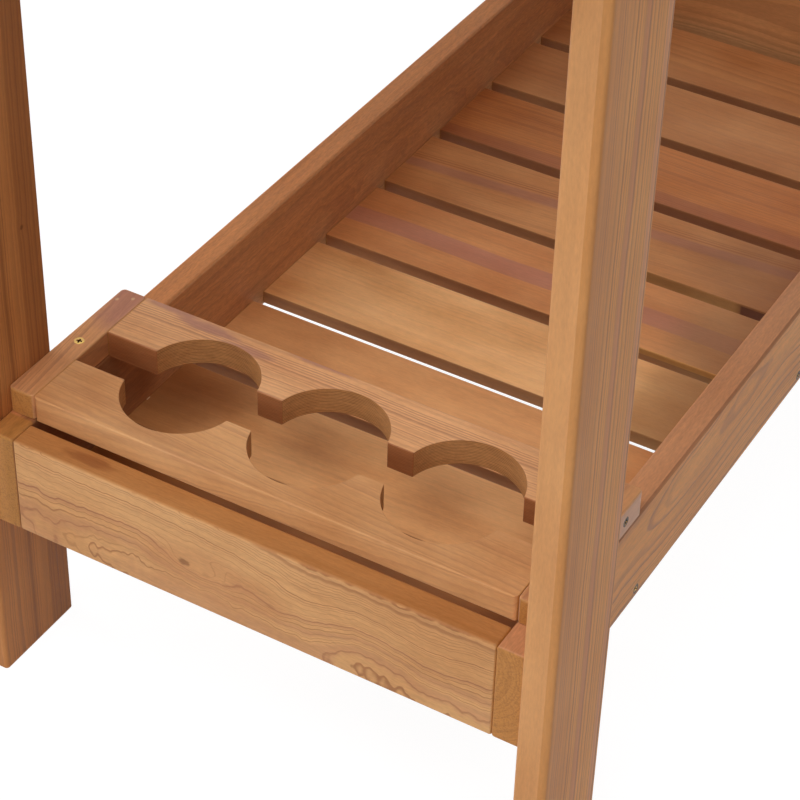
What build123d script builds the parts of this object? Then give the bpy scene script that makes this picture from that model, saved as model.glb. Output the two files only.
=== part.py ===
from build123d import *
import os

# A wooden grill cart: four flat legs, a slatted shelf tray with a bottle rack at one end, a board worktop
# with a handle bar at the rack end, and two wheels on an axle at the other end.
# Axes: X runs along the cart from the rack end to the wheel end, left is +Y, Z is up from the floor.

# Frame
frame_length = 925.0        # side rails, end to end
inner_width = 392.0         # between the side rails
rail_thickness = 22.0
rail_height = 84.0
apron_thickness = 22.0
shelf_height = 235.0        # floor to the top edge of the shelf rails
rail_ease = 2.5             # rounding of the long edges of rails and aprons
rail_end_ease = 2.0         # and of the edges round their ends

# Legs
leg_width = 84.0            # along the cart
leg_thickness = 24.0
leg_overhang = 6.0          # leg edge beyond the rail ends
leg_ease = 3.0
leg_end_ease = 1.0
axle_to_leg_end = 40.0      # wood left below the axle on the wheel legs
leg_end_round = 14.0        # corner rounding of the wheel legs' lower ends

# Shelf slats, as many as fit
slat_width = 84.0
slat_thickness = 11.5
slat_least_gap = 10.0
slat_lift = 2.5             # rails' lower edge up to the slats
slat_ease = 1.0
slat_end_ease = 0.6
slat_offsets = {3: -2.0}    # slats set by hand off their even spacing
slats_per_screw = 3         # every third slat is screwed, the others are doweled

# Bottle rack, with as many holes as fit
rack_setback = 4.5          # apron to rack
rack_board_width = 51.0
rack_thickness = 22.0       # boards and cleats
rack_slot = 39.0            # between the two boards
notch_radius = 44.5
notch_centre_out = 8.0      # notch centre beyond the board's edge, in the slot
notch_web = 21.0            # wood between two notches
rack_least_end = 20.0       # wood between the last notch and the cleat, at least
rack_ease = 1.2             # outer long edges of the boards
rack_corner = 4.0           # rounded corners of boards and cleats, seen from above
notch_corner_ease = 1.0
notch_rim_ease = 0.4
cleat_ease = 1.2

# Worktop
worktop_height = 900.0
worktop_thickness = 22.0
worktop_boards = 5
worktop_gap = 4.0
worktop_side_overhang = 11.0   # beyond the legs
worktop_end_overhang = 20.0    # beyond the rail ends
worktop_ease = 3.0
worktop_end_ease = 2.0
crossbar_count = 3
crossbar_width = 44.0
crossbar_thickness = 22.0
crossbar_inset = 80.0          # rail end to the outer crossbars' middle
crossbar_screw_offset = 11.0   # screws to the crossbar's middle

# Handle
handle_reach = 120.0        # top rails beyond the frame at the rack end
bar_diameter = 28.0
bar_to_rail_end = 32.0      # bar middle to the rail's end
bar_seat_depth = 12.0
bar_clearance = 0.05
rail_end_round = 26.0

# Wheels
wheel_diameter = 150.0
tyre_width = 30.0
tyre_depth = 16.0
tyre_round = 6.0
groove_depth = 2.0
groove_width = 3.0
groove_offset = 5.0         # tread grooves to the tyre's middle
rim_depth = 7.0
rim_width = 26.0
boss_diameter = 36.0
boss_length = 36.0
spoke_count = 6
spoke_width = 14.0
spoke_thickness = 12.0
axle_diameter = 12.0
axle_clearance = 0.05       # radial, in the leg and in the caps
wheel_clearance = 0.08      # radial, running fit
washer_diameter = 30.0
washer_thickness = 2.0
side_play = 0.3             # each side of a wheel, along the axle
cap_diameter = 22.0
cap_length = 12.0
cap_wall = 4.0
cap_round = 3.0

# Screws and dowels
screw_head_diameter = 8.0   # countersunk head
screw_shank_diameter = 4.0
screw_grip = 24.0           # length in the second piece
screw_clearance = 0.05      # radial
screw_tip_room = 0.5
pan_head_diameter = 11.0
pan_head_height = 3.5
pan_head_crown = 1.2
leg_screw_diameter = 5.0
leg_screw_grip = 17.0       # length in the leg
leg_screw_inset = 14.0      # from the apron and from the leg's inner edge
leg_screw_level = 30.0      # from the rail's top edge
leg_screw_step = 30.0       # height between a pair
worktop_screw_grip = 13.0   # length in the worktop board
outer_screw_inset = 24.0    # rail to the outer boards' screws
dowel_diameter = 8.0
dowel_grip = 15.0           # length in each piece
dowel_inset = 20.0          # from the apron's top and bottom edges
slat_dowel_diameter = 6.0
slat_dowel_grip = 13.0
dowel_clearance = 0.05

# Modelling allowances
cut_over = 1.0              # how far a cut runs past a face
pick = 0.01                 # tolerance for finding an edge by its place

# Places that follow from the sizes. The frame is first laid out from the rail end at the rack (x = 0), then
# everything is drawn shifted so that the cart's box is centred on the origin.
rail_inner = inner_width / 2
rail_outer = rail_inner + rail_thickness
leg_outer = rail_outer + leg_thickness
axle_x = frame_length + leg_overhang - leg_width / 2
axle_z = wheel_diameter / 2
reach_back = max(handle_reach, worktop_end_overhang, leg_overhang)
reach_on = max(axle_x + wheel_diameter / 2, frame_length + max(worktop_end_overhang, leg_overhang))
rack_end = -(reach_on - reach_back) / 2
leg_top = worktop_height - worktop_thickness
slat_top = shelf_height - rail_height + slat_lift + slat_thickness
tray_length = frame_length - 2 * apron_thickness
slat_count = int((tray_length - slat_least_gap) / (slat_width + slat_least_gap))
slat_gap = (tray_length - slat_count * slat_width) / (slat_count + 1)
rack_front = apron_thickness + rack_setback
rack_top = shelf_height + rack_thickness
rack_length = 2 * rack_board_width + rack_slot
rack_back = rack_front + rack_length
slot_middle = rack_front + rack_length / 2
notch_half_width = (notch_radius**2 - notch_centre_out**2) ** 0.5
bottle_spacing = 2 * notch_half_width + notch_web
bottle_count = int((inner_width - 2 * rack_least_end + notch_web) / bottle_spacing)
notch_back = rack_board_width - (notch_radius - notch_centre_out)
screw_head_depth = (screw_head_diameter - screw_shank_diameter) / 2
sides = {"left": 1, "right": -1}


def slat_start(number):
    """Distance from the rail end at the rack to slat number's near edge."""
    even = apron_thickness + slat_gap + (number - 1) * (slat_width + slat_gap)
    return even + slat_offsets.get(number, 0.0)


def is_screwed(number):
    """The middle slat of each three is screwed."""
    return number % slats_per_screw == 2 % slats_per_screw


def span(a, b):
    return min(a, b), max(a, b)


def plank(along, x, y, z, ease, end_ease):
    """A straight board between the given limits. Its four long edges are rounded, and the edges of its ends."""
    (x0, x1), (y0, y1), (z0, z1) = span(*x), span(*y), span(*z)
    x0 += rack_end
    x1 += rack_end
    middle = Vector((x0 + x1) / 2, (y0 + y1) / 2, (z0 + z1) / 2)
    size = Vector(x1 - x0, y1 - y0, z1 - z0)
    if along == Axis.X:
        plane = Plane(origin=(x0, middle.Y, middle.Z), x_dir=(0, 1, 0), z_dir=(1, 0, 0))
        section, length = (size.Y, size.Z), size.X
    elif along == Axis.Y:
        plane = Plane(origin=(middle.X, y0, middle.Z), x_dir=(1, 0, 0), z_dir=(0, 1, 0))
        section, length = (size.X, size.Z), size.Y
    else:
        plane = Plane(origin=(middle.X, middle.Y, z0), x_dir=(1, 0, 0), z_dir=(0, 0, 1))
        section, length = (size.X, size.Y), size.Z
    board = extrude(plane * RectangleRounded(*section, ease), amount=length)
    return fillet(board.faces().filter_by(along).edges(), min(end_ease, 0.9 * ease))


def shaped_board(x, y, z, low_end, rounding, ease):
    """A board cut to an outline in side view: the two corners at its low end along an axis of the outline are
    rounded, and then every edge of both faces."""
    (x0, x1), (y0, y1), (z0, z1) = span(*x), span(*y), span(*z)
    outline = Pos((x0 + x1) / 2 + rack_end, (z0 + z1) / 2) * Rectangle(x1 - x0, z1 - z0)
    outline = fillet(outline.vertices().group_by(low_end)[0], rounding)
    board = extrude(Plane.XZ.offset(-y1) * outline, amount=y1 - y0)
    return fillet(board.faces().filter_by(Axis.Y).edges(), ease)


def turned(start, direction, profile):
    """A solid of revolution about a line from start; profile lists (radius, distance along the line)."""
    plane = Plane(origin=start, x_dir=(0, 0, 1) if abs(direction[2]) < 0.5 else (1, 0, 0), z_dir=direction)
    outline = Polyline(*[(r, d) for r, d in profile], close=True)
    sketch = make_face(outline)
    return plane * revolve(Plane.XZ * sketch, Axis.Z)


def rod(start, direction, diameter, length, clearance=0.0):
    """A plain round bar, or with a clearance the hole for one."""
    radius = diameter / 2 + clearance
    return turned(start, direction, [(0, 0), (radius, 0), (radius, length), (0, length)])


def place(x, y, z):
    """A point given along the cart from the rail end at the rack."""
    return Vector(x + rack_end, y, z)


def countersunk(start, direction, length, clearance=0.0, extra=0.0):
    """A countersunk screw from its flush head, or with a clearance its hole."""
    head = screw_head_diameter / 2 + clearance
    shank = screw_shank_diameter / 2 + clearance
    tip = length + extra
    return turned(start, direction, [(0, 0), (head, 0), (shank, screw_head_depth), (shank, tip), (0, tip)])


def pan_screw(start, direction, diameter, length):
    """A pan-head screw whose head stands on the face at start."""
    head = pan_head_diameter / 2
    shank = diameter / 2
    back = Vector(*start) - Vector(*direction) * pan_head_height
    tip = pan_head_height + length
    profile = [(0, 0), (head - pan_head_crown, 0), (head, pan_head_crown), (head, pan_head_height),
               (shank, pan_head_height), (shank, tip), (0, tip)]
    return turned(back, direction, profile)


parts = {}
fasteners = {}
holes = {}


def fasten(group, solid, hole, *nodes):
    """Adds one fastener to its group and its hole to each piece that it goes through."""
    fasteners.setdefault(group, []).append(solid)
    for node in nodes:
        holes.setdefault(node, []).append(hole)


# Legs: the wheel legs end above the floor and carry the axle
for side, s in sides.items():
    leg_y = (s * rail_outer, s * leg_outer)
    rack_leg_x = (-leg_overhang, leg_width - leg_overhang)
    parts[f"leg_rack_{side}"] = plank(Axis.Z, rack_leg_x, leg_y, (0, leg_top), leg_ease, leg_end_ease)
    wheel_leg_x = (axle_x - leg_width / 2, axle_x + leg_width / 2)
    wheel_leg_z = (axle_z - axle_to_leg_end, leg_top)
    parts[f"leg_wheel_{side}"] = shaped_board(wheel_leg_x, leg_y, wheel_leg_z, Axis.Y, leg_end_round, leg_ease)
    axle_hole = rod(place(axle_x, s * (rail_outer - cut_over), axle_z), (0, s, 0), axle_diameter,
                    leg_thickness + 2 * cut_over, axle_clearance)
    holes.setdefault(f"leg_wheel_{side}", []).append(axle_hole)

# Shelf tray: side rails, end aprons between them, and slats across
shelf_z = (shelf_height - rail_height, shelf_height)
for side, s in sides.items():
    rail_y = (s * rail_inner, s * rail_outer)
    parts[f"shelf_rail_{side}"] = plank(Axis.X, (0, frame_length), rail_y, shelf_z, rail_ease, rail_end_ease)
apron_ends = {"rack": (0, apron_thickness), "wheel": (frame_length - apron_thickness, frame_length)}
for end, apron_x in apron_ends.items():
    parts[f"shelf_apron_{end}"] = plank(Axis.Y, apron_x, (-rail_inner, rail_inner), shelf_z, rail_ease,
                                        rail_end_ease)
for number in range(1, slat_count + 1):
    near = slat_start(number)
    parts[f"shelf_slat_{number}"] = plank(Axis.Y, (near, near + slat_width), (-rail_inner, rail_inner),
                                          (slat_top - slat_thickness, slat_top), slat_ease, slat_end_ease)

# Bottle rack: two cleats on the rails and two boards between them, notched towards each other
for side, s in sides.items():
    outline = Pos(slot_middle + rack_end, s * (rail_inner + rail_outer) / 2) * RectangleRounded(
        rack_length, rail_thickness, rack_corner)
    cleat = extrude(Plane.XY.offset(shelf_height) * outline, amount=rack_thickness)
    parts[f"rack_cleat_{side}"] = fillet(cleat.faces().filter_by(Axis.Z).edges(), cleat_ease)


def notched_board(outer_x, slot_x, outward):
    """A rack board: a strip whose outer long edges are rounded, cut to a plan with round outer corners and with
    half-round bites along its slot edge."""
    middle_x = (outer_x + slot_x) / 2 + rack_end
    outer = outer_x + rack_end
    slot = slot_x + rack_end
    section = Pos(middle_x, shelf_height + rack_thickness / 2) * Rectangle(rack_board_width, rack_thickness)
    section = fillet([v for v in section.vertices() if abs(v.X - outer) < pick], rack_ease)
    strip = extrude(Plane.XZ * section, amount=rail_inner, both=True)
    plan = Pos(middle_x, 0) * Rectangle(rack_board_width, inner_width)
    plan = fillet([v for v in plan.vertices() if abs(v.X - outer) < pick], rack_corner)
    first = -(bottle_count - 1) / 2 * bottle_spacing
    for bottle in range(bottle_count):
        centre = Pos(slot - outward * notch_centre_out, first + bottle * bottle_spacing)
        plan -= centre * Circle(notch_radius)
    bite_ends = [v for v in plan.vertices() if abs(v.X - slot) < pick and abs(v.Y) < rail_inner - pick]
    plan = fillet(bite_ends, min(notch_corner_ease, 0.4 * notch_web))
    board = strip & extrude(Plane.XY.offset(shelf_height) * plan, amount=rack_thickness)
    past_corner = max(rack_ease, rack_corner)
    rims = [e for e in board.faces().sort_by(Axis.Z)[-1].edges()
            if abs(e.center().Y) < rail_inner - pick and abs(e.center().X - outer) > past_corner]
    return chamfer(rims, notch_rim_ease)


parts["bottle_board_front"] = notched_board(rack_front, rack_front + rack_board_width, -1)
parts["bottle_board_rear"] = notched_board(rack_back, rack_back - rack_board_width, 1)

# Top frame: rails that run on past the rack end as handle arms, aprons, crossbars and worktop boards
top_z = (leg_top - rail_height, leg_top)
for side, s in sides.items():
    arm_x = (-handle_reach, frame_length)
    rail_y = (s * rail_inner, s * rail_outer)
    parts[f"top_rail_{side}"] = shaped_board(arm_x, rail_y, top_z, Axis.X, rail_end_round, rail_ease)
for end, apron_x in apron_ends.items():
    parts[f"top_apron_{end}"] = plank(Axis.Y, apron_x, (-rail_inner, rail_inner), top_z, rail_ease,
                                      rail_end_ease)
crossbar_step = (frame_length - 2 * crossbar_inset) / (crossbar_count - 1)
crossbar_middles = [crossbar_inset + number * crossbar_step for number in range(crossbar_count)]
for number, middle in enumerate(crossbar_middles, 1):
    crossbar_x = (middle - crossbar_width / 2, middle + crossbar_width / 2)
    parts[f"worktop_crossbar_{number}"] = plank(Axis.Y, crossbar_x, (-rail_inner, rail_inner),
                                                (leg_top - crossbar_thickness, leg_top), slat_ease,
                                                slat_end_ease)
worktop_width = 2 * (leg_outer + worktop_side_overhang)
board_width = (worktop_width - (worktop_boards - 1) * worktop_gap) / worktop_boards
board_step = board_width + worktop_gap
board_middles = [(number - (worktop_boards - 1) / 2) * board_step for number in range(worktop_boards)]
for number, middle in enumerate(board_middles, 1):
    parts[f"worktop_board_{number}"] = plank(
        Axis.X, (-worktop_end_overhang, frame_length + worktop_end_overhang),
        (middle - board_width / 2, middle + board_width / 2), (leg_top, worktop_height), worktop_ease,
        worktop_end_ease)

# Handle: a round bar seated in both handle arms
bar_x = bar_to_rail_end - handle_reach
bar_z = leg_top - rail_height / 2
bar_half = rail_inner + bar_seat_depth
parts["handle_bar"] = rod(place(bar_x, -bar_half, bar_z), (0, 1, 0), bar_diameter, 2 * bar_half)
for side, s in sides.items():
    seat = rod(place(bar_x, s * (rail_inner - cut_over), bar_z), (0, s, 0), bar_diameter,
               bar_seat_depth + cut_over, bar_clearance)
    holes.setdefault(f"top_rail_{side}", []).append(seat)

# Wheels: a spoked hub and a tyre turn on the axle, held by washers and a push-on cap on each side
hub_start = leg_outer + washer_thickness + side_play
cap_start = hub_start + boss_length + side_play + washer_thickness
axle_half = cap_start + cap_length - cap_wall
parts["axle"] = rod(place(axle_x, -axle_half, axle_z), (0, 1, 0), axle_diameter, 2 * axle_half)
rim_outer = wheel_diameter / 2 - tyre_depth
rim_inner = rim_outer - rim_depth
for side, s in sides.items():
    wheel_middle = place(axle_x, s * (hub_start + boss_length / 2), axle_z)
    wheel_plane = Plane(origin=wheel_middle, x_dir=(1, 0, 0), z_dir=(0, s, 0))
    boss = extrude(Circle(boss_diameter / 2), amount=boss_length / 2, both=True)
    rim = extrude(Circle(rim_outer) - Circle(rim_inner), amount=rim_width / 2, both=True)
    spoke_length = rim_outer - rim_depth / 2
    spoke = Pos(spoke_length / 2, 0) * Rectangle(spoke_length, spoke_width)
    spokes = extrude(Sketch() + [Rot(0, 0, 360 / spoke_count * n) * spoke for n in range(spoke_count)],
                     amount=spoke_thickness / 2, both=True)
    bore = Cylinder(axle_diameter / 2 + wheel_clearance, boss_length + 2 * cut_over)
    parts[f"wheel_hub_{side}"] = wheel_plane * (boss + rim + spokes - bore)
    section = Pos(rim_outer + tyre_depth / 2, 0) * Rectangle(tyre_depth, tyre_width)
    section = fillet(section.vertices().group_by(Axis.X)[-1], tyre_round)
    for offset in (-groove_offset, groove_offset):
        section -= Pos(wheel_diameter / 2, offset) * Rectangle(2 * groove_depth, groove_width)
    parts[f"tyre_{side}"] = wheel_plane * revolve(Plane.XZ * section, Axis.Z)
    socket = axle_diameter / 2 + axle_clearance
    washer_edge = washer_diameter / 2
    washer_ring = [(socket, 0), (washer_edge, 0), (washer_edge, washer_thickness), (socket, washer_thickness)]
    for washer_y in (leg_outer, cap_start - washer_thickness):
        washer = turned(place(axle_x, s * washer_y, axle_z), (0, s, 0), washer_ring)
        fasteners.setdefault("axle_washers", []).append(washer)
    cap_outline = [(socket, 0), (cap_diameter / 2, 0), (cap_diameter / 2, cap_length - cap_round),
                   (cap_diameter / 2 - cap_round, cap_length), (0, cap_length), (0, cap_length - cap_wall),
                   (socket, cap_length - cap_wall)]
    cap = turned(place(axle_x, s * cap_start, axle_z), (0, s, 0), cap_outline)
    fasteners.setdefault("axle_caps", []).append(cap)

# Rack screws: one down through each cleat, one through each cleat into each board end
for side, s in sides.items():
    cleat = f"rack_cleat_{side}"
    top = place(slot_middle, s * (rail_inner + rail_thickness / 2), rack_top)
    length = rack_thickness + screw_grip
    fasten("rack_top_screws", countersunk(top, (0, 0, -1), length),
           countersunk(top, (0, 0, -1), length, screw_clearance, screw_tip_room), cleat, f"shelf_rail_{side}")
    for board, middle in (("front", rack_front + rack_board_width / 2),
                          ("rear", rack_back - rack_board_width / 2)):
        start = place(middle, s * rail_outer, shelf_height + rack_thickness / 2)
        length = rail_thickness + screw_grip
        fasten("rack_side_screws", countersunk(start, (0, -s, 0), length),
               countersunk(start, (0, -s, 0), length, screw_clearance, screw_tip_room),
               cleat, f"bottle_board_{board}")

# Slats: a screw through the rail into every third slat, a dowel in each end of the others
for number in range(1, slat_count + 1):
    slat_middle = slat_start(number) + slat_width / 2
    slat_level = slat_top - slat_thickness / 2
    for side, s in sides.items():
        if is_screwed(number):
            start = place(slat_middle, s * rail_outer, slat_level)
            length = rail_thickness + screw_grip
            fasten("slat_screws", countersunk(start, (0, -s, 0), length),
                   countersunk(start, (0, -s, 0), length, screw_clearance, screw_tip_room),
                   f"shelf_rail_{side}", f"shelf_slat_{number}")
        else:
            start = place(slat_middle, s * (rail_inner + slat_dowel_grip), slat_level)
            depth = slat_dowel_grip + screw_tip_room
            back = place(slat_middle, s * (rail_inner + depth), slat_level)
            hole = rod(back, (0, -s, 0), slat_dowel_diameter, 2 * depth, dowel_clearance)
            fasten("slat_dowels", rod(start, (0, -s, 0), slat_dowel_diameter, 2 * slat_dowel_grip), hole,
                   f"shelf_rail_{side}", f"shelf_slat_{number}")

# Aprons: two dowels at each end, into the rails
for frame_name, frame_top in (("shelf", shelf_height), ("top", leg_top)):
    for end, apron_x in apron_ends.items():
        for side, s in sides.items():
            for level in (frame_top - dowel_inset, frame_top - rail_height + dowel_inset):
                start = place(sum(apron_x) / 2, s * (rail_inner + dowel_grip), level)
                depth = dowel_grip + screw_tip_room
                back = place(sum(apron_x) / 2, s * (rail_inner + depth), level)
                hole = rod(back, (0, -s, 0), dowel_diameter, 2 * depth, dowel_clearance)
                dowel = rod(start, (0, -s, 0), dowel_diameter, 2 * dowel_grip)
                fasten(f"{frame_name}_apron_dowels", dowel, hole,
                       f"{frame_name}_rail_{side}", f"{frame_name}_apron_{end}")

# Legs: two pan-head screws from inside each rail into each leg
leg_screw_places = (leg_width - leg_overhang - leg_screw_inset, apron_thickness + leg_screw_inset)
for frame_name, frame_top in (("shelf", shelf_height), ("top", leg_top)):
    for side, s in sides.items():
        for end in apron_ends:
            for number, along in enumerate(leg_screw_places):
                x = along if end == "rack" else frame_length - along
                level = frame_top - leg_screw_level - number * leg_screw_step
                start = place(x, s * rail_inner, level)
                length = rail_thickness + leg_screw_grip
                hole = rod(start - Vector(0, s * cut_over, 0), (0, s, 0), leg_screw_diameter,
                           cut_over + length + screw_tip_room, screw_clearance)
                fasten("leg_screws", pan_screw(start, (0, s, 0), leg_screw_diameter, length), hole,
                       f"{frame_name}_rail_{side}", f"leg_{end}_{side}")

# Worktop: a screw from below through each crossbar into each board, crossbars screwed through the top rails,
# the two kinds on either side of the crossbar's middle
screw_reach = rail_inner - outer_screw_inset
for number, x in enumerate(crossbar_middles, 1):
    bar_name = f"worktop_crossbar_{number}"
    inwards = crossbar_screw_offset if x <= frame_length / 2 else -crossbar_screw_offset
    for board, y in enumerate(board_middles, 1):
        start = place(x - inwards, max(-screw_reach, min(screw_reach, y)), leg_top - crossbar_thickness)
        length = crossbar_thickness + worktop_screw_grip
        hole = rod(start - Vector(0, 0, cut_over), (0, 0, 1), screw_shank_diameter,
                   cut_over + length + screw_tip_room, screw_clearance)
        fasten("worktop_screws", pan_screw(start, (0, 0, 1), screw_shank_diameter, length), hole,
               bar_name, f"worktop_board_{board}")
    for side, s in sides.items():
        start = place(x + inwards, s * rail_outer, leg_top - crossbar_thickness / 2)
        length = rail_thickness + screw_grip
        fasten("crossbar_screws", countersunk(start, (0, -s, 0), length),
               countersunk(start, (0, -s, 0), length, screw_clearance, screw_tip_room),
               f"top_rail_{side}", bar_name)

# Cut the holes and write every piece
for node, tools in holes.items():
    parts[node] = parts[node] - tools
for group, solids in fasteners.items():
    parts[group] = Compound(children=solids)
os.makedirs("parts", exist_ok=True)
for node, shape in parts.items():
    export_step(shape, f"parts/{node}.step")
print(len(parts), "nodes")
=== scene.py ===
import bmesh
import bpy
import numpy as np
from mathutils import Matrix, Vector


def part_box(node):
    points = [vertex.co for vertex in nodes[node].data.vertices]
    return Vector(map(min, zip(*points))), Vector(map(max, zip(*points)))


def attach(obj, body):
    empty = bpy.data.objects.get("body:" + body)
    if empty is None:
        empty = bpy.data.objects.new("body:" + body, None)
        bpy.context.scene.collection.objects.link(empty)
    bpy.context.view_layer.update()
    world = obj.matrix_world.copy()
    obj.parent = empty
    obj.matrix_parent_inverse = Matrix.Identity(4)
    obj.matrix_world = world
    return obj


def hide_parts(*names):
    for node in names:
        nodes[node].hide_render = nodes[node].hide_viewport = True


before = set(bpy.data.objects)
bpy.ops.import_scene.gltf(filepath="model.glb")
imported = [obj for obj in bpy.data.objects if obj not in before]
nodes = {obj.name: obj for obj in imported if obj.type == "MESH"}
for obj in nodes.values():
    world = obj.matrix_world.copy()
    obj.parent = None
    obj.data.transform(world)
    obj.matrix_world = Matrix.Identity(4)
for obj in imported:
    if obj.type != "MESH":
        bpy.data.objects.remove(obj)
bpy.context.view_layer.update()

# Rack legs: flat boards of stained softwood, sawn along the grain, planed, eased and oiled. They stand on the
# floor at the rack end and are screwed to the outer faces of the rails. The wood that every board shares is
# defined here: growth rings round a pith line that each board places and turns for itself.


def tint(code):
    """A colour from its six hex digits, as linear values with alpha."""
    part = np.array([int(code[i:i + 2], 16) for i in (0, 2, 4)]) / 255
    linear = np.where(part <= 0.04045, part / 12.92, ((part + 0.055) / 1.055) ** 2.4)
    return (*linear.tolist(), 1.0)


def add(tree, kind, inputs=(), **settings):
    """A shader node with its settings. Each input is a value, or a socket that gets linked."""
    node = tree.nodes.new("ShaderNode" + kind)
    for key, value in settings.items():
        setattr(node, key, value)
    for key, value in dict(inputs).items():
        if isinstance(value, bpy.types.NodeSocket):
            tree.links.new(value, node.inputs[key])
        else:
            node.inputs[key].default_value = value
    return node


def calc(tree, operation, *values):
    """A sum of one or two values."""
    return add(tree, "Math", enumerate(values), operation=operation).outputs[0]


def vector(tree, operation, *values):
    """A sum of one or two vectors, which is a number for a dot product or a length."""
    found = add(tree, "VectorMath", enumerate(values), operation=operation).outputs
    return found["Value" if operation in ("DOT_PRODUCT", "LENGTH") else "Vector"]


def step(tree, value, low, high, start=0.0, end=1.0):
    """A smooth step from start to end as the value goes from low to high."""
    inputs = {"Value": value, "From Min": low, "From Max": high, "To Min": start, "To Max": end}
    return add(tree, "MapRange", inputs, interpolation_type="SMOOTHSTEP").outputs[0]


def mix(tree, share, a, b, kind="MIX"):
    """A colour between a and b."""
    return add(tree, "Mix", {0: share, 6: a, 7: b}, data_type="RGBA", blend_type=kind).outputs[2]


def stretched(tree, place, scale, detail, seed):
    """Noise round zero whose grains are 1 / scale long in each direction."""
    inputs = {"Vector": vector(tree, "MULTIPLY", place, scale), "W": seed, "Scale": 1.0, "Detail": detail}
    found = add(tree, "TexNoise", inputs, noise_dimensions="4D").outputs[0]
    return calc(tree, "SUBTRACT", found, 0.5)


def along(tree, value, scale, seed, shift):
    """Noise round zero along one line."""
    place = calc(tree, "ADD", calc(tree, "MULTIPLY", value, scale), calc(tree, "ADD", seed, shift))
    inputs = {"W": place, "Scale": 1.0, "Detail": 2.0}
    found = add(tree, "TexNoise", inputs, noise_dimensions="1D").outputs[0]
    return calc(tree, "SUBTRACT", found, 0.5)


def new_group(name, inputs, outputs):
    """An empty node group, the sockets that come in and those that go out."""
    group = bpy.data.node_groups.new(name, "ShaderNodeTree")
    for label, kind in inputs.items():
        group.interface.new_socket(label, in_out="INPUT", socket_type="NodeSocket" + kind)
    for label, kind in outputs.items():
        group.interface.new_socket(label, in_out="OUTPUT", socket_type="NodeSocket" + kind)
    return group, group.nodes.new("NodeGroupInput").outputs, group.nodes.new("NodeGroupOutput").inputs


def make_sawn_wood():
    """Rings: the distance from a wandering pith line, divided by the ring width, with each ring pale at first
    and dark at its outer edge. Fibres, streaks and stains: noise drawn out along the grain."""
    figure_scale, ripple_scale = (9, 34, 34), (65, 15, 15)       # grains per metre, along and across the log
    fibre_scale, streak_scale = (170, 800, 800), (7, 240, 240)
    stain_scale, blotch_scale = (5, 95, 95), (10, 22, 22)
    bends, bends_apart = 2.6, 31.7                               # of the pith line, and their seeds' offset
    uneven_scale, uneven_shift, uneven = 0.31, 5.3, 3.0          # ring widths that drift from ring to ring
    late_full, late_end, least_late = 0.86, 0.9, 0.3             # the dark edge of a ring
    streak_share, streak_push = 0.7, 0.0015
    blotch_tones = (0.7, 1.15, 1.6)                              # red, green and blue
    rough, rough_fibre, rough_late, late_height = 0.58, 0.25, -0.08, -0.35
    group, given, out = new_group(
        "sawn_wood",
        {"Log": "Vector", "Early": "Color", "Late": "Color", "Ring": "Float", "Contrast": "Float",
         "Late from": "Float", "Wander": "Float", "Figure": "Float", "Ripple": "Float", "Fibre": "Float",
         "Blotch": "Float", "Stain": "Float", "Shift": "Float", "Seed": "Float"},
        {"Color": "Color", "Shade": "Color", "Radius": "Float", "Roughness": "Float", "Height": "Float"})
    log, seed = given["Log"], given["Seed"]
    part = add(group, "SeparateXYZ", {0: log}).outputs
    squares = []
    for number, axis in enumerate("YZ"):
        wander = along(group, part["X"], bends, seed, bends_apart * number)
        bend = calc(group, "MULTIPLY", wander, given["Wander"])
        squares.append(calc(group, "POWER", calc(group, "ADD", part[axis], bend), 2.0))
    radius = calc(group, "ADD", calc(group, "SQRT", calc(group, "ADD", *squares)), given["Shift"])
    for scale, amount in ((figure_scale, "Figure"), (ripple_scale, "Ripple")):
        push = calc(group, "MULTIPLY", stretched(group, log, scale, 2.0, seed), given[amount])
        radius = calc(group, "ADD", radius, push)
    turn = calc(group, "DIVIDE", radius, given["Ring"])
    drift = along(group, turn, uneven_scale, seed, uneven_shift)
    turn = calc(group, "ADD", turn, calc(group, "MULTIPLY", drift, uneven))
    place = calc(group, "FRACT", turn)
    counted = calc(group, "FLOOR", turn)
    own = add(group, "TexWhiteNoise", {"W": counted}, noise_dimensions="1D").outputs["Value"]
    rise = step(group, place, given["Late from"], late_full)
    late = calc(group, "MULTIPLY", rise, step(group, place, late_end, 1.0, 1.0, 0.0))
    depth = calc(group, "ADD", calc(group, "MULTIPLY", own, 1.0 - least_late), least_late)
    late = calc(group, "MULTIPLY", late, depth)
    fibre = stretched(group, log, fibre_scale, 2.0, seed)
    streak = stretched(group, log, streak_scale, 2.0, seed)
    stain = step(group, stretched(group, log, stain_scale, 3.0, seed), 0.0, 0.22)
    blotch = stretched(group, log, blotch_scale, 3.0, seed)
    grown = calc(group, "MULTIPLY", late, given["Contrast"])
    grown = calc(group, "MAXIMUM", grown, calc(group, "MULTIPLY", stain, given["Stain"]))
    colour = mix(group, grown, given["Early"], given["Late"])
    fine = calc(group, "ADD", fibre, calc(group, "MULTIPLY", streak, streak_share))
    fine = calc(group, "ADD", calc(group, "MULTIPLY", fine, given["Fibre"]), 1.0)
    spread = calc(group, "MULTIPLY", blotch, given["Blotch"])
    tones = [calc(group, "ADD", fine, calc(group, "MULTIPLY", spread, tone)) for tone in blotch_tones]
    shade = add(group, "CombineColor", enumerate(tones)).outputs[0]
    group.links.new(mix(group, 1.0, colour, shade, "MULTIPLY"), out["Color"])
    group.links.new(shade, out["Shade"])
    group.links.new(calc(group, "ADD", radius, calc(group, "MULTIPLY", streak, streak_push)), out["Radius"])
    uneven_gloss = calc(group, "ADD", calc(group, "MULTIPLY", fibre, rough_fibre),
                        calc(group, "MULTIPLY", late, rough_late))
    group.links.new(calc(group, "ADD", uneven_gloss, rough), out["Roughness"])
    group.links.new(calc(group, "ADD", calc(group, "MULTIPLY", late, late_height), fibre), out["Height"])
    return group


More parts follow.
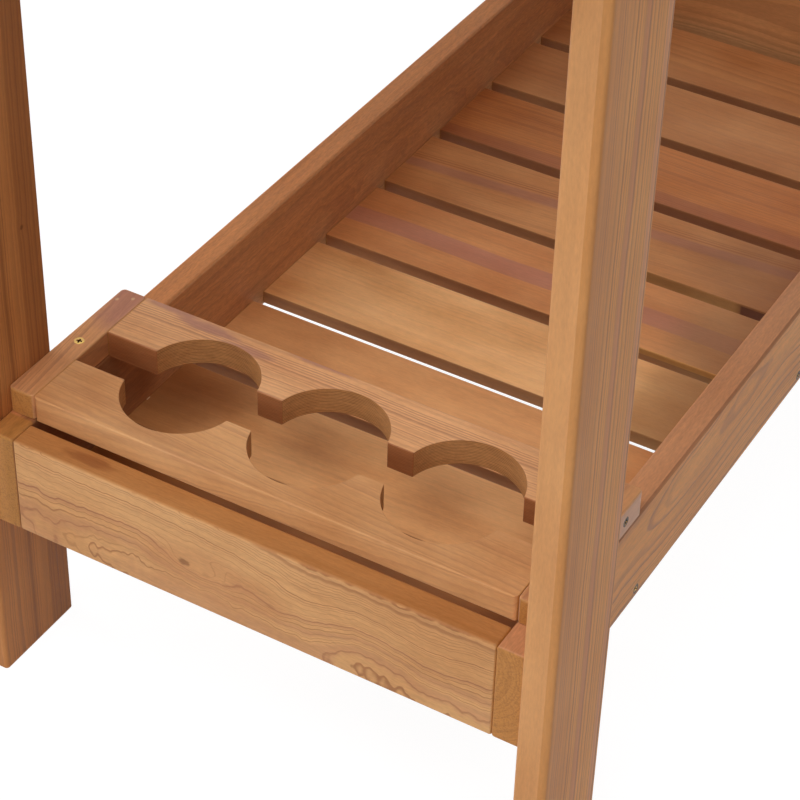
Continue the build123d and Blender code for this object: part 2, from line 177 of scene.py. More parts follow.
def make_heartwood():
    """A band of heartwood between two distances from the pith, with soft sides."""
    group, given, out = new_group(
        "heartwood", {"Radius": "Float", "From": "Float", "To": "Float", "Soft": "Float"}, {"Mask": "Float"})
    rise = calc(group, "DIVIDE", calc(group, "SUBTRACT", given["Radius"], given["From"]), given["Soft"])
    fall = calc(group, "DIVIDE", calc(group, "SUBTRACT", given["To"], given["Radius"]), given["Soft"])
    mask = calc(group, "MULTIPLY", step(group, rise, -1.0, 1.0), step(group, fall, -1.0, 1.0))
    group.links.new(mask, out["Mask"])
    return group


def make_board_edges():
    """The distance to each pair of faces of the board's box. Where the two nearest are both small is an
    arris, and where the one along the grain is small is a sawn end."""
    worn_scale, worn_depth = (60, 60, 60), 0.0016
    arris_full, arris_end = 0.0004, 0.0026
    sawn_full, sawn_end = 0.0003, 0.0012
    group, given, out = new_group(
        "board_edges", {"Vector": "Vector", "Centre": "Vector", "Half": "Vector", "Grain": "Vector"},
        {"Arris": "Float", "End": "Float"})
    away = vector(group, "ABSOLUTE", vector(group, "SUBTRACT", given["Vector"], given["Centre"]))
    inside = vector(group, "SUBTRACT", given["Half"], away)
    x, y, z = add(group, "SeparateXYZ", {0: inside}).outputs
    least = calc(group, "MINIMUM", x, y)
    second = calc(group, "MAXIMUM", least, calc(group, "MINIMUM", calc(group, "MAXIMUM", x, y), z))
    worn = stretched(group, given["Vector"], worn_scale, 2.0, 0.0)
    second = calc(group, "ADD", second, calc(group, "MULTIPLY", worn, worn_depth))
    group.links.new(step(group, second, arris_full, arris_end, 1.0, 0.0), out["Arris"])
    depth = vector(group, "DOT_PRODUCT", inside, given["Grain"])
    group.links.new(step(group, depth, sawn_full, sawn_end, 1.0, 0.0), out["End"])
    return group


def make_knot():
    """A knot: the rings are pushed aside by a bell curve round its place, and its core is dark, with an edge
    made ragged by noise that its place seeds."""
    seeds, ragged_scale, ragged_share = (370, 910, 530), (2.5, 2.5, 2.5), 0.5
    bell_width, core_full, core_end = -0.22, 0.25, 0.6
    group, given, out = new_group(
        "knot", {"Vector": "Vector", "Place": "Vector", "Size": "Vector", "Push": "Float"},
        {"Shift": "Float", "Core": "Float"})
    away = vector(group, "SUBTRACT", given["Vector"], given["Place"])
    away = vector(group, "DIVIDE", away, given["Size"])
    far = vector(group, "LENGTH", away)
    own = vector(group, "DOT_PRODUCT", given["Place"], seeds)
    noise = stretched(group, away, ragged_scale, 2.0, own)
    ragged = calc(group, "ADD", far, calc(group, "MULTIPLY", noise, ragged_share))
    bell = calc(group, "EXPONENT", calc(group, "MULTIPLY", calc(group, "POWER", far, 2.0), bell_width))
    group.links.new(calc(group, "MULTIPLY", bell, given["Push"]), out["Shift"])
    group.links.new(step(group, ragged, core_full, core_end, 1.0, 0.0), out["Core"])
    return group


def make_patch():
    """One inside a box and zero outside it, with narrow soft sides."""
    group, given, out = new_group(
        "patch", {"Vector": "Vector", "Centre": "Vector", "Half": "Vector"}, {"Mask": "Float"})
    away = vector(group, "SUBTRACT", given["Vector"], given["Centre"])
    away = vector(group, "ABSOLUTE", vector(group, "DIVIDE", away, given["Half"]))
    x, y, z = add(group, "SeparateXYZ", {0: away}).outputs
    far = calc(group, "MAXIMUM", calc(group, "MAXIMUM", x, y), z)
    group.links.new(step(group, far, 0.85, 1.0, 1.0, 0.0), out["Mask"])
    return group


sawn_wood, heartwood, board_edges, knot, patch = (
    make_sawn_wood(), make_heartwood(), make_board_edges(), make_knot(), make_patch())


def use(tree, group, inputs):
    """What a node group puts out when it is placed with its own values."""
    return add(tree, "Group", inputs, node_tree=group).outputs


def new_material(name):
    """A material, its node tree, its shader and the place of each point on the piece."""
    material = bpy.data.materials.new(name)
    material.use_nodes = True
    tree = material.node_tree
    return material, tree, tree.nodes["Principled BSDF"], add(tree, "TexCoord").outputs["Object"]


def surface(tree, shader, colour, rough, height, strength, depth):
    """Gives the shader a colour, a roughness and a bump."""
    tree.links.new(colour, shader.inputs["Base Color"])
    tree.links.new(rough, shader.inputs["Roughness"])
    bump = add(tree, "Bump", {"Height": height, "Strength": strength, "Distance": depth})
    tree.links.new(bump.outputs[0], shader.inputs["Normal"])


def dress(material, *pieces):
    """Puts a material on every slot of the pieces."""
    for piece in pieces:
        for slot in piece.material_slots:
            slot.material = material


def paint(tree, share, colour, shade, stain):
    """A share of a stain over a colour. The stain takes on the wood's fine shades."""
    return mix(tree, share, colour, mix(tree, 1.0, shade, stain, "MULTIPLY"))


def board(name, run, pith, early="CC935E", late="94603C", ring=3.2, contrast=0.5, late_from=0.25, wander=8.0,
          figure=1.0, ripple=0.0, fibre=0.4, blotch=0.45, stain=0.2, hearts=(), worn=0.06, plain=(), knots=(),
          saw=None, patches=(), seed=0.0):
    """Wood for one board. run is the direction of the pith line, pith its offset from the board's middle.
    These, ring, wander, figure, ripple, the knots' push and the heartwood's distances are in millimetres.
    hearts are bands (from, to, softness, share, colour), plain (axis, colour, share) is for faces across an
    axis that are stained, and also for faces painted darker as shade; knots are (place, size, push, share,
    colour), and where the push is none they are soft stains, and also spots of painted shade.
    saw (low x, high x, colour) is for walls left by a hole saw, with its marks round them, and patches are
    (centre, half size, colour, share)."""
    facing_from, facing_full = 0.4, 0.9
    pore_scale, end_share = (800, 800, 800), 0.75
    low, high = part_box(name)
    centre, half = (low + high) / 2, (high - low) / 2
    grain = Vector(abs(x) == max(map(abs, run)) for x in run)
    material, tree, shader, place = new_material(name + "_wood")
    turn = Vector(run).to_track_quat("X", "Y" if grain.z else "Z").to_euler()
    lie = {"Vector": place, "Location": centre + Vector(pith) / 1000, "Rotation": turn}
    log = add(tree, "Mapping", lie, vector_type="TEXTURE").outputs[0]
    shift, cores = 0.0, []
    for spot, size, push, share, dark in knots:
        found = use(tree, knot, {"Vector": place, "Place": spot, "Size": size, "Push": push / 1000})
        shift = calc(tree, "ADD", shift, found["Shift"])
        cores.append((calc(tree, "MULTIPLY", found["Core"], share), dark))
    grown = use(tree, sawn_wood, {
        "Log": log, "Early": tint(early), "Late": tint(late), "Ring": ring / 1000, "Contrast": contrast,
        "Late from": late_from, "Wander": wander / 1000, "Figure": figure / 1000, "Ripple": ripple / 1000,
        "Fibre": fibre, "Blotch": blotch, "Stain": stain, "Shift": shift, "Seed": seed})
    colour, shade = grown["Color"], grown["Shade"]
    for near, far, soft, share, dark in hearts:
        band = {"Radius": grown["Radius"], "From": near / 1000, "To": far / 1000, "Soft": soft / 1000}
        mask = calc(tree, "MULTIPLY", use(tree, heartwood, band)["Mask"], share)
        colour = paint(tree, mask, colour, shade, tint(dark))
    normal = add(tree, "NewGeometry").outputs["Normal"]
    for axis, dark, share in plain:
        facing = calc(tree, "ABSOLUTE", vector(tree, "DOT_PRODUCT", normal, axis))
        mask = step(tree, facing, facing_from, facing_full, 0.0, share)
        colour = paint(tree, mask, colour, shade, tint(dark))
    for mask, dark in cores:
        colour = paint(tree, mask, colour, shade, tint(dark))
    if saw:
        low_x, high_x, wall = saw
        mark_pitch, break_scale, broken_share = 4600.0, (90, 90, 700), 3.0      # radians and grains per metre
        x, _, z = add(tree, "SeparateXYZ", {0: place}).outputs
        facing = calc(tree, "ABSOLUTE", vector(tree, "DOT_PRODUCT", normal, (0, 0, 1)))
        inside = calc(tree, "MULTIPLY",
                      calc(tree, "GREATER_THAN", x, low_x), calc(tree, "LESS_THAN", x, high_x))
        mask = calc(tree, "MULTIPLY", inside, step(tree, facing, 0.3, 0.7, 0.85, 0.0))
        marks = calc(tree, "SINE", calc(tree, "MULTIPLY", z, mark_pitch))
        broken = calc(tree, "MULTIPLY", stretched(tree, place, break_scale, 2.0, seed), broken_share)
        share = step(tree, calc(tree, "ADD", marks, broken), -0.6, 1.2, 0.0, 0.8)
        colour = paint(tree, mask, colour, shade, mix(tree, share, tint(wall), tint("7E4C28")))
    for spot, size, dark, share in patches:
        mask = use(tree, patch, {"Vector": place, "Centre": spot, "Half": size})["Mask"]
        colour = paint(tree, calc(tree, "MULTIPLY", mask, share), colour, shade, tint(dark))
    edges = use(tree, board_edges, {"Vector": place, "Centre": centre, "Half": half, "Grain": grain})
    pores = step(tree, stretched(tree, place, pore_scale, 2.0, seed), -0.06, 0.16, 0.0, 0.42)
    end_grain = mix(tree, pores, tint("B67A34"), tint("6E4216"))
    colour = mix(tree, calc(tree, "MULTIPLY", edges["End"], end_share), colour, end_grain)
    colour = mix(tree, calc(tree, "MULTIPLY", edges["Arris"], worn), colour, tint("E0B07A"))
    surface(tree, shader, colour, grown["Roughness"], grown["Height"], 0.35, 0.0004)
    shader.inputs["Specular IOR Level"].default_value = 0.25
    dress(material, nodes[name])


board("leg_rack_right", (0.002, 0.004, 1), (230, 2, 0), early="E5A262", late="8C4C30", ring=4.4,
      contrast=0.85, wander=3, figure=5.0, ripple=1.4, fibre=0.3, stain=0.35, seed=1.0,
      plain=[((1, 0, 0), "D69A62", 0.88)],
      hearts=[(193, 199.5, 1.5, 0.5, "D69A7C"), (224, 230, 1.4, 0.6, "C88664"),
              (243, 274, 4.0, 0.5, "C88858")],
      # Painted shade: a darker strip down the leg's front right arris stands in for the shading of a rounder
      # edge than the model has.
      patches=[((-0.4275, -0.2393, 0.44), (0.004, 0.0031, 0.46), "C08040", 0.6)])
board("leg_rack_left", (0.004, -0.006, 1), (-150, 30, 0), early="C8864C", late="784228", ring=4.2,
      contrast=0.6, wander=8, figure=4.0, ripple=1.2, fibre=0.3, stain=0.25, seed=2.0,
      hearts=[(152, 157, 1.2, 0.4, "7A4424"), (173, 196, 1.5, 0.45, "864C28")],
      knots=[((-0.365, 0.218, 0.377), (0.004, 0.004, 0.0045), 1.2, 0.6, "5A3018")])

# Wheel legs: the same stained boards at the other end, cut short above the floor with their lower corners
# rounded. A hole bored through each of them carries the axle.
board("leg_wheel_right", (-0.005, 0.006, 1), (20, 75, 0), ring=4.2, wander=24, seed=3.0)
board("leg_wheel_left", (0.006, -0.003, 1), (-14, -80, 0), ring=3.8, wander=20, seed=4.0)

# Shelf rails: long softwood boards on edge, one on each side of the tray. The legs are screwed to them from
# inside, and the aprons are doweled between their ends.
board("shelf_rail_left", (1, 0.01, 0.004), (0, 46, -12), early="CC9262", late="845040", ring=4.0,
      contrast=0.26, wander=20, figure=5.0, ripple=4.0, fibre=0.7, stain=0.25, seed=5.0,
      plain=[((0, 0, 1), "C8824E", 0.85)],
      # Painted shade: the rail's inner face is darkened towards the rack end, where the tray shades it.
      knots=[((-0.37, 0.196, 0.2), (0.24, 0.03, 0.2), 0.0, 0.7, "6A4026")],
      patches=[((-0.41, 0.207, 0.235), (0.0135, 0.0125, 0.002), "AC7438", 0.8)])
board("shelf_rail_right", (1, 0.006, 0.014), (-160, 34, 22), early="E6A266", late="985C40", ring=3.8,
      contrast=0.75, late_from=0.4, wander=34, figure=3.5, ripple=1.5, fibre=0.6, stain=0.3, seed=6.0,
      plain=[((0, 0, 1), "C68A60", 0.92)],
      # Painted shade: a thin dark line along the rail's outer top arris.
      patches=[((0, -0.217, 0.2342), (0.47, 0.0012, 0.0014), "84503A", 0.6)])

# Shelf aprons: short boards doweled between the rails. The one at the rack end is flat-sawn, so its face has
# a lively figure round a few small knots.
apron_face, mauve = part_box("shelf_apron_rack")[0].x, "B47A58"
board("shelf_apron_rack", (0.02, 1, 0.05), (60, 0, -38), early="D49E68", late="965830", ring=2.2,
      contrast=0.9, late_from=0.66, wander=12, figure=5.0, ripple=4.4, blotch=0.6, seed=7.0,
      plain=[((0, 0, 1), "B2763F", 0.85)],
      hearts=[(70, 73, 0.8, 0.4, mauve), (75.5, 78, 0.8, 0.4, mauve), (82, 84, 0.8, 0.35, mauve)],
      knots=[((apron_face, 0.0504, 0.1893), (0.008, 0.011, 0.006), 7.0, 0.85, "46240F"),
             ((apron_face, 0.032, 0.186), (0.006, 0.007, 0.005), 4.0, 0.25, "8A5430"),
             ((apron_face, 0.0154, 0.1837), (0.006, 0.009, 0.005), 4.0, 0.25, "8A5430"),
             ((apron_face, -0.0209, 0.182), (0.006, 0.009, 0.005), 4.0, 0.3, "8A5430"),
             ((apron_face, -0.05, 0.2), (0.02, 0.018, 0.014), 7.0, 0.0, mauve),
             ((apron_face, -0.095, 0.18), (0.02, 0.02, 0.014), -6.0, 0.0, mauve),
             ((apron_face, -0.14, 0.205), (0.02, 0.016, 0.012), 6.0, 0.0, mauve),
             ((apron_face, 0.03, 0.186), (0.04, 0.13, 0.05), 0.0, 0.45, "C08252"),
             ((-0.4105, 0.1349, 0.235), (0.012, 0.045, 0.012), 0.0, 0.6, "8A4E28")])
board("shelf_apron_wheel", (0.02, 1, -0.04), (-40, 0, 12), ring=4.2, wander=22, figure=3.0, seed=8.0)

# Shelf slats: thin softwood boards across the tray, a finger's width apart. Every third is screwed through
# the rails and the others are doweled into them. Their side faces are painted darker, as painted shade in
# the narrow gaps between them, and their ends near the rails are painted darker as painted shade.
sides = (1, -1)
slat_top, slat_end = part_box("shelf_slat_1")[1].z, 0.2
slat_look = {
    # Painted shade: slat 1 lies under the bottle rack and is given a dark tone for its shade.
    1: dict(run=(0.02, 1, 0.0), pith=(30, 0, -60), early="A06A3C", ring=4.0, contrast=0.15),
    2: dict(run=(-0.012, 1, 0.004), pith=(-60, 0, -50), early="E6AC72", ring=3.6, contrast=0.15,
            patches=[((-0.2615, 0.1955, slat_top), (0.0022, 0.0012, 0.001), "F4DCB4", 0.9)]),
    3: dict(run=(0.01, 1, -0.003), pith=(20, 0, -75), early="DE9E66", ring=6.0, contrast=0.12),
    4: dict(run=(0.018, 1, 0.01), pith=(-52, 0, -30), early="F6BA7C", late="C07858", ring=5.0, contrast=0.2,
            # Painted shade at the slat's right end, near the rail.
            knots=[((-0.06, -slat_end, slat_top), (0.4, 0.2, 0.05), 0.0, 0.75, "A87C4E")]),
    5: dict(run=(-0.02, 1, 0.004), pith=(-150, 0, 10), early="E0985F", ring=4.6, contrast=0.15,
            hearts=[(138.5, 159.5, 0.7, 0.75, "C4806A")],
            # Painted shade at the slat's right end, near the rail.
            knots=[((0.0405, -slat_end, slat_top), (0.3, 0.22, 0.05), 0.0, 0.6, "906C46")],
            # Painted light: a lit strip along the upper half of the near side face, towards the right end.
            patches=[((-0.0015, -0.115, 0.1625), (0.001, 0.075, 0.003), "D0944E", 0.7)]),
    6: dict(run=(-0.04, 1, 0.0), pith=(95, 0, -20), early="D6945C", ring=3.4, contrast=0.2,
            hearts=[(85, 97, 2.0, 0.6, "B07664"), (81, 83, 0.8, 0.5, "A05C3A"),
                    (78, 79.6, 0.7, 0.45, "A05C3A"), (75.2, 76.6, 0.7, 0.35, "A05C3A")],
            # Painted shade at the slat's right end, near the rail.
            knots=[((0.137, -slat_end, slat_top), (0.3, 0.26, 0.05), 0.0, 0.5, "754929")],
            # Painted light: a lit strip on the near side face towards the right end; then a dark patch near
            # that end.
            patches=[((0.095, -0.085, 0.159), (0.001, 0.06, 0.006), "C89458", 0.7),
                     ((0.095, -0.158, 0.159), (0.001, 0.016, 0.0045), "6A3A22", 0.95)]),
    7: dict(run=(-0.01, 1, 0.006), pith=(-130, 0, -12), early="D0854A", late="944E34", ring=3.0, contrast=0.5,
            hearts=[(86, 107, 3.0, 0.5, "945440")]),
    8: dict(run=(0.012, 1, -0.006), pith=(60, 0, -40), early="CC8C58", ring=5.0, contrast=0.2),
    9: dict(run=(0.0, 1, 0.01), pith=(-30, 0, -60), early="CA8A56", ring=4.4, contrast=0.4),
}


def middle(name):
    """The middle of a piece's box in the frame."""
    low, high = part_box(name)
    return (low + high) / 2


for number, look in slat_look.items():
    name = f"shelf_slat_{number}"
    # Painted shade at both ends of each slat, where the rails shade it: strongest on slats 1 and 2.
    share = 0.6 if number < 3 else 0.2
    ends = [(middle(name).x, slat_end * s, slat_top) for s in sides]
    end_shade = [(end, (0.3, 0.17, 0.05), 0.0, share, "98581F") for end in ends]
    look = {"late": "9C5A38", **look, "knots": end_shade + look.get("knots", [])}
    board(name, wander=14, figure=2.0, fibre=0.28, blotch=1.0, stain=0.14, seed=10.0 + number,
          # Painted shade: the slats' side faces are darkened for the shade in the gaps between them.
          plain=[((1, 0, 0), "8E5A36", 0.75)], **look)

# Bottle rack: two cleats screwed onto the rails and two notched boards between them, whose bites hold
# bottles. The bites are cut with a hole saw, so their walls show its marks and are darker.
rack_top, saw_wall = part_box("bottle_board_front")[1].z, "D0965A"
board("bottle_board_front", (0.06, 1, 0.01), (120, 0, -95), early="DCA46E", late="A4664A", ring=3.4,
      contrast=0.36, wander=8, figure=3.5, ripple=1.4, fibre=0.28, blotch=0.9, stain=0.12, worn=0.0,
      seed=21.0, saw=(-0.39, -0.344, saw_wall),
      knots=[((-0.373, 0.16, rack_top), (0.012, 0.08, 0.02), 0.0, 0.15, "A86A44"),
             ((-0.385, 0.1, rack_top), (0.011, 0.09, 0.02), 0.0, 0.24, "A86A44"),
             ((-0.393, 0.04, rack_top), (0.009, 0.1, 0.02), 0.0, 0.24, "A86A44")])
board("bottle_board_rear", (0.015, 1, -0.01), (-130, 0, -105), early="DEA674", late="A0664A", ring=2.4,
      contrast=0.65, wander=12, figure=3.0, ripple=1.0, blotch=0.7, seed=22.0, saw=(-0.306, -0.262, saw_wall),
      knots=[((-0.2572, 0.172, rack_top), (0.009, 0.05, 0.02), 0.0, 0.75, "AC7866"),
             ((-0.2622, 0.136, rack_top), (0.012, 0.06, 0.02), 0.0, 0.8, "AC7866"),
             ((-0.2690, 0.095, rack_top), (0.009, 0.05, 0.02), 0.0, 0.7, "AC7866"),
             ((-0.2545, 0.04, rack_top), (0.008, 0.06, 0.02), 0.0, 0.75, "AC7866")],
      patches=[((-0.3055, 0, 0.246), (0.0009, 0.3, 0.02), "A8623A", 0.75)])
board("rack_cleat_left", (1, 0.10, 0.02), (0, 60, -20), early="D49764", late="905844", ring=3.4,
      contrast=0.45, wander=8, figure=3.0, worn=0.2, seed=23.0,
      knots=[((-0.268, 0.203, rack_top), (0.07, 0.04, 0.03), 0.0, 0.7, "AA7264"),
             ((-0.2687, 0.2137, rack_top), (0.004, 0.003, 0.004), 0.0, 0.6, "E0BE90"),
             ((-0.2623, 0.2036, rack_top), (0.004, 0.003, 0.004), 0.0, 0.6, "E0BE90")])
board("rack_cleat_right", (1, -0.06, 0.03), (0, -52, -24), early="CB9060", late="96604A", ring=3.2,
      contrast=0.45, wander=8, figure=3.0, worn=0.2, seed=24.0, plain=[((0, 1, 0), "E2B49A", 0.8)])

# Top frame: rails whose ends run on past the rack end as handle arms, aprons doweled between them and
# crossbars that the worktop is screwed to from below.
draw = np.random.RandomState(7)


def any_board(name, grain, flat):
    """A board of the same wood, whose pith lies at a random distance beyond the given side."""
    run = Vector(grain) + Vector(draw.uniform(-0.015, 0.015, 3))
    pith = Vector(flat) * draw.uniform(45, 95) + Vector(draw.uniform(-35, 35, 3))
    early = draw.choice(["D0965E", "CA8F58", "D49B66", "C88B56"])
    board(name, tuple(run), tuple(pith), early=str(early), ring=draw.uniform(3.0, 5.0),
          contrast=draw.uniform(0.35, 0.6), wander=draw.uniform(10, 30), figure=draw.uniform(1, 3),
          seed=draw.uniform(30, 90))


for side, outward in (("left", 1), ("right", -1)):
    any_board(f"top_rail_{side}", (1, 0, 0), (0, -outward, 0))
for end, outward in (("rack", -1), ("wheel", 1)):
    any_board(f"top_apron_{end}", (0, 1, 0), (-outward, 0, 0))
for number in (1, 2, 3):
    any_board(f"worktop_crossbar_{number}", (0, 1, 0), (0, 0, 1))

# Worktop: five planed boards side by side, with a gap between them for rain to drain. They lie on the
# crossbars and are screwed on from below.
for number in range(1, 6):
    any_board(f"worktop_board_{number}", (1, 0, 0), (0, 0, -1))

# Handle: a round bar turned from one piece of the same wood, to lift and push the cart by. Its ends are
# seated in blind holes in the two handle arms.
any_board("handle_bar", (0, 1, 0), (0, 0, -1))

# Dowels: turned beech pins, glued into both pieces of a joint and hidden in it. They hold the aprons and
# most of the slats.
for name in ("slat_dowels", "shelf_apron_dowels", "top_apron_dowels"):
    board(name, (0, 1, 0), (0, 0, -200), early="CFA878", late="B58B5C", ring=2.0, contrast=0.3, seed=95.0)

# Axle: a plain zinc-plated steel rod through both wheel legs, kept in place by the caps on its ends. A steel
# washer lies on each side of a wheel.


def metal(name, bright, dull, rough, *targets):
    """Plated metal: two tones and a roughness that drift with noise, and a fine grain."""
    material, tree, shader, place = new_material(name)
    cloud = add(tree, "TexNoise", {"Vector": place, "Scale": 260.0, "Detail": 3.0}).outputs[0]
    fine = add(tree, "TexNoise", {"Vector": place, "Scale": 2600.0, "Detail": 2.0}).outputs[0]
    colour = mix(tree, step(tree, cloud, 0.35, 0.68), tint(bright), tint(dull))
    surface(tree, shader, colour, step(tree, fine, 0.2, 0.8, rough - 0.08, rough + 0.1), fine, 0.2, 0.0001)
    shader.inputs["Metallic"].default_value = 1.0
    dress(material, *targets)
    return material


metal("axle_steel", "B8BABC", "9DA0A3", 0.34, nodes["axle"], nodes["axle_washers"])

# Wheels: hubs moulded in dark plastic with six spokes, and solid rubber tyres pressed onto their rims. Caps
# of the same plastic are pushed onto the axle's ends.


def moulded(name, base, dusty, rough, grain, *targets):
    """Moulded plastic or rubber: a fine grain in the surface and a little dust in its colour."""
    material, tree, shader, place = new_material(name)
    cloud = add(tree, "TexNoise", {"Vector": place, "Scale": 40.0, "Detail": 4.0}).outputs[0]
    fine = add(tree, "TexNoise", {"Vector": place, "Scale": grain, "Detail": 2.0}).outputs[0]
    colour = mix(tree, step(tree, cloud, 0.4, 0.75), tint(base), tint(dusty))
    surface(tree, shader, colour, step(tree, fine, 0.25, 0.75, rough - 0.08, rough + 0.08), fine, 0.3, 0.0003)
    dress(material, *targets)


moulded("hub_plastic", "2B2B2C", "3A3836", 0.45, 1400.0,
        nodes["wheel_hub_left"], nodes["wheel_hub_right"], nodes["axle_caps"])
moulded("tyre_rubber", "1C1B1A", "33302C", 0.72, 700.0, nodes["tyre_left"], nodes["tyre_right"])

# Screws: yellow-zinc steel with a cross recess. Where a head sits in an upright face it is painted dark and
# less metallic, a painted reflection of dark surroundings, and its cross recess is painted dark as shade.
# Countersunk ones hold the rack, the slats and the crossbars, and pan-head ones, driven from inside or below,
# hold the legs and the worktop boards.
spins = np.random.RandomState(3)
pole = 0.001                # radius of the first and last ring of a profile, welded to a point


def screws(node, profile, heads):
    """Each screw is a profile of (radius, height along its axis) turned round it, with a cross sunk into the
    top. The cross is as deep as a point is near to one of two arms, and it fades out towards the arms' ends.
    The profile is in millimetres. heads are places in the frame with the direction that the head faces."""
    count, weld = 64, 0.000005
    arm_half, arm_slope, arm_reach, arm_fade = 0.75, 0.35, 2.5, 0.5
    head_depth, deepest, rise = 0.6, 1.7, 0.3
    angle = np.linspace(0, 2 * np.pi, count, endpoint=False)
    radius, height = np.repeat(np.array(profile)[:, :, None], count, axis=2).transpose(1, 0, 2)
    side, front = radius * np.cos(angle), radius * np.sin(angle)
    arm = np.minimum(np.abs(side), np.abs(front))
    sunk = np.clip((arm_half - arm) / arm_slope, 0, 1) * np.clip((arm_reach - radius) / arm_fade, 0, 1)
    sunk = sunk * (height >= height.max() - head_depth)
    local = np.stack([side, front, height - sunk * (deepest - rise * radius)], axis=2).reshape(-1, 3)
    rings = np.arange(len(profile) - 1)[:, None] * count
    near, on = np.arange(count), (np.arange(count) + 1) % count
    corners = [rings + near, rings + count + near, rings + count + on, rings + on]
    quads = np.stack(corners, axis=2).reshape(-1, 4)
    points, faces = [], []
    for number, (spot, facing) in enumerate(heads):
        up = np.array(facing, float)
        spin = spins.uniform(0, np.pi)
        flat = np.roll(up, 1)
        across = flat * np.cos(spin) + np.cross(up, flat) * np.sin(spin)
        axes = np.array([across, np.cross(up, across), up])
        points.append(local @ axes / 1000 + np.array(spot))
        faces += (quads + number * len(local)).tolist()
    mesh = bpy.data.meshes.new(node + "_shown")
    mesh.from_pydata(np.concatenate(points).tolist(), [], faces)
    recess = mesh.attributes.new("recess", "FLOAT", "POINT")
    recess.data.foreach_set("value", np.tile(sunk.ravel(), len(heads)))
    welded = bmesh.new()
    welded.from_mesh(mesh)
    bmesh.ops.remove_doubles(welded, verts=welded.verts, dist=weld)
    welded.to_mesh(mesh)
    welded.free()
    mesh.polygons.foreach_set("use_smooth", [True] * len(mesh.polygons))
    mesh.set_sharp_from_angle(angle=0.6)
    mesh.materials.append(screw_zinc)
    piece = bpy.data.objects.new(node + "_shown", mesh)
    bpy.context.scene.collection.objects.link(piece)
    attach(piece, "cart")
    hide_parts(node)


def pan_screw(shank, length):
    """The profile of a pan-head screw: a dome that falls with the square of the radius, a rim and a shank."""
    head, height, crown = 5.5, 3.5, 1.2
    dome = [(r, height - crown * (r / head) ** 2) for r in np.linspace(pole, 5.0, 28)]
    return dome + [(5.4, 1.9), (head, 1.4), (head, 0.0), (shank, 0.0), (shank, -length), (pole, -length)]


screw_zinc = metal("screw_zinc", "DDB765", "C79A62", 0.3)
tree = screw_zinc.node_tree
shader = tree.nodes["Principled BSDF"]
plated = shader.inputs["Base Color"].links[0].from_socket
facing = add(tree, "SeparateXYZ", {0: add(tree, "NewGeometry").outputs["Normal"]}).outputs["Z"]
# Painted reflection: heads in upright faces get a dark, less metallic colour for the dark surroundings they
# would mirror.
painted_reflection = step(tree, calc(tree, "ABSOLUTE", facing), 0.3, 0.8, 1.0, 0.0)
plated = mix(tree, painted_reflection, plated, tint("4A2E18"))
# Painted shade: the cross recess is darkened.
recess_shade = calc(tree, "MULTIPLY", add(tree, "Attribute", attribute_name="recess").outputs["Fac"], 0.9)
tree.links.new(mix(tree, recess_shade, plated, tint("2A1C12")), shader.inputs["Base Color"])
tree.links.new(calc(tree, "SUBTRACT", 1.0, painted_reflection), shader.inputs["Metallic"])
shader.inputs["Specular IOR Level"].default_value = 0.1

flat_top = [(r, 0.0) for r in np.linspace(pole, 3.9, 24)]
countersunk = flat_top + [(4.0, -0.1), (2.0, -2.0), (2.0, -45.0), (pole, -46.0)]
rail_inside, rail_outside = (corner.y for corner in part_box("shelf_rail_left"))


def through_rails(node, places):
    """Countersunk screws at these places, through the rails from both sides."""
    screws(node, countersunk, [((x, rail_outside * s, z), (0, s, 0)) for x, _, z in places for s in sides])


cleat = middle("rack_cleat_left")
screws("rack_top_screws", countersunk, [((cleat.x, cleat.y * s, rack_top), (0, 0, 1)) for s in sides])
through_rails("rack_side_screws", [middle("bottle_board_front"), middle("bottle_board_rear")])
through_rails("slat_screws", [middle(f"shelf_slat_{number}") for number in (2, 5, 8)])

crossbar_offset = 0.011                 # keeps the screws along and across a crossbar apart
crossbars = [middle(f"worktop_crossbar_{number}") for number in (1, 2, 3)]
inwards = [Vector((crossbar_offset * way, 0, 0)) for way in (1, 1, -1)]
through_rails("crossbar_screws", [bar + shift for bar, shift in zip(crossbars, inwards)])

leg_inset, leg_level = 0.014, 0.03      # from the leg's or the apron's edge, and below the rail's top
leg_places = [(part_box("leg_rack_left")[1].x - leg_inset, leg_level),
              (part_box("shelf_apron_rack")[1].x + leg_inset, 2 * leg_level),
              (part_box("leg_wheel_left")[0].x + leg_inset, leg_level),
              (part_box("shelf_apron_wheel")[0].x - leg_inset, 2 * leg_level)]
rail_tops = [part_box(name)[1].z for name in ("shelf_rail_left", "top_rail_left")]
screws("leg_screws", pan_screw(2.5, 39.0),
       [((x, rail_inside * s, top - down), (0, -s, 0))
        for top in rail_tops for s in sides for x, down in leg_places])

outer_inset = 0.024                     # the outer boards reach past the rails, and their screws can't
outermost = rail_inside - outer_inset
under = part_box("worktop_crossbar_1")[0].z
across = np.clip([middle(f"worktop_board_{number}").y for number in range(1, 6)], -outermost, outermost)
screws("worktop_screws", pan_screw(2.0, 35.0),
       [((bar.x - shift.x, y, under), (0, 0, -1)) for bar, shift in zip(crossbars, inwards) for y in across])

# Floor: a plain pale studio floor that fades into a white background and keeps the cart's soft shadow. The
# world round it is white to the camera and a dim grey to everything that it lights.
reach = 8.0


def seen_directly(tree):
    """One for what the camera sees, also mirrored or through glass, and zero for what only gives light."""
    rays = add(tree, "LightPath").outputs
    mirrored = calc(tree, "MAXIMUM", rays["Is Glossy Ray"], rays["Is Transmission Ray"])
    return calc(tree, "MAXIMUM", rays["Is Camera Ray"], mirrored)


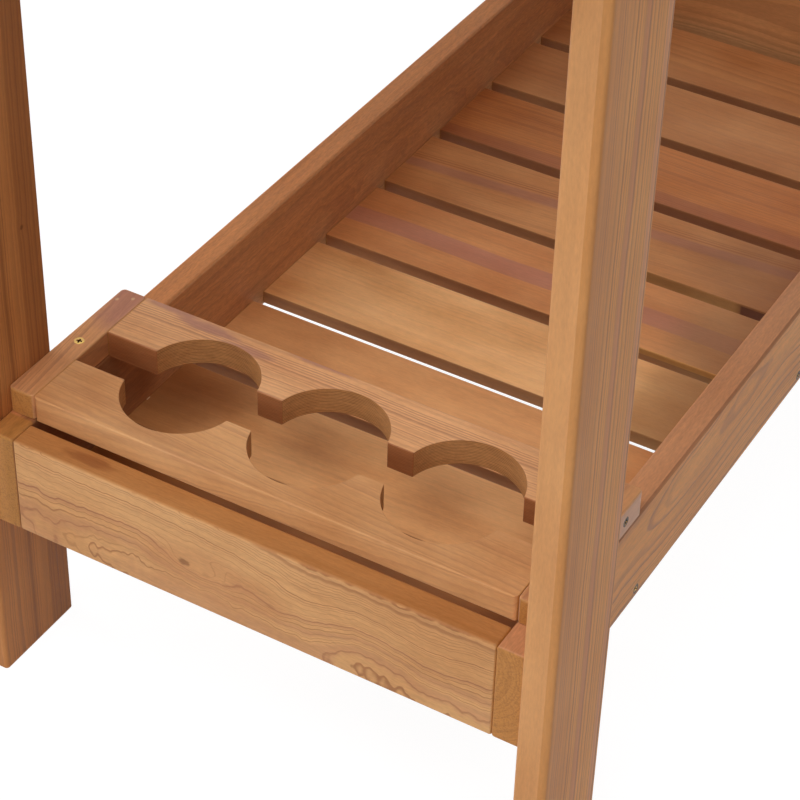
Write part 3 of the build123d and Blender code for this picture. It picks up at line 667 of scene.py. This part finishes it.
floor_mesh = bpy.data.meshes.new("floor")
floor_mesh.from_pydata([(-reach, -reach, 0), (reach, -reach, 0), (reach, reach, 0), (-reach, reach, 0)], [],
                       [(0, 1, 2, 3)])
floor = bpy.data.objects.new("floor", floor_mesh)
bpy.context.scene.collection.objects.link(floor)
pale = bpy.data.materials.new("pale_floor")
pale.use_nodes = True
tree = pale.node_tree
tree.nodes.remove(tree.nodes["Principled BSDF"])
matt = add(tree, "BsdfDiffuse", {"Color": (0.85, 0.85, 0.85, 1)}).outputs[0]
glow = add(tree, "Emission", {"Color": (1, 1, 1, 1), "Strength": 1.12}).outputs[0]
bright = calc(tree, "MULTIPLY", seen_directly(tree), 0.85)
blend = add(tree, "MixShader", {0: bright, 1: matt, 2: glow}).outputs[0]
tree.links.new(blend, tree.nodes["Material Output"].inputs["Surface"])
floor_mesh.materials.append(pale)

world = bpy.data.worlds.new("studio")
bpy.context.scene.world = world
world.use_nodes = True
tree = world.node_tree
sky = mix(tree, seen_directly(tree), (0.11, 0.11, 0.11, 1), (1, 1, 1, 1))
tree.links.new(sky, tree.nodes["Background"].inputs["Color"])

# Lamps: large soft discs, low and high in front of the rack end and one on the left. Weaker ones stand high
# on the right and behind.


def lamp(name, place, aim, size, power):
    """A disc of the given size that stands at a place and shines at a point."""
    data = bpy.data.lights.new(name, "AREA")
    data.shape, data.size, data.energy = "DISK", size, power
    light = bpy.data.objects.new(name, data)
    turn = (Vector(aim) - Vector(place)).to_track_quat("-Z", "Y").to_matrix().to_4x4()
    light.matrix_world = Matrix.Translation(place) @ turn
    bpy.context.scene.collection.objects.link(light)


lamp("front_low", (-3.2, -0.2, 0.6), (0, 0, 0.3), 1.6, 17)
lamp("front_high", (-1.7, -0.2, 2.8), (-0.3, 0, 0.25), 1.6, 32)
lamp("front_left", (-1.5, 0.9, 2.8), (-0.3, 0, 0.25), 1.2, 14)
lamp("left", (-0.3, 2.7, 1.6), (0, 0, 0.25), 1.6, 28)
lamp("right_high", (-0.4, -1.7, 2.8), (-0.1, 0, 0.25), 1.2, 16)
lamp("back", (2.8, 0.3, 1.6), (0, 0, 0.25), 1.6, 6)

# Camera: above and in front of the rack end, on the right, where the photo was taken. Its place and its long
# lens were fitted to points of the photo.
camera_data = bpy.data.cameras.new("camera")
camera_data.sensor_width, camera_data.lens = 36.0, 110.8
camera_data.clip_start, camera_data.clip_end = 0.05, 60
camera = bpy.data.objects.new("camera", camera_data)
right, up = Vector((0.50871, -0.86066, 0.02179)), Vector((0.5309, 0.33353, 0.77904))
turn = Matrix((right, up, right.cross(up))).transposed().to_4x4()
camera.matrix_world = Matrix.Translation((-1.4496, -0.7025, 1.357)) @ turn
bpy.context.scene.collection.objects.link(camera)
bpy.context.scene.camera = camera
bpy.context.scene.view_settings.view_transform = "Standard"
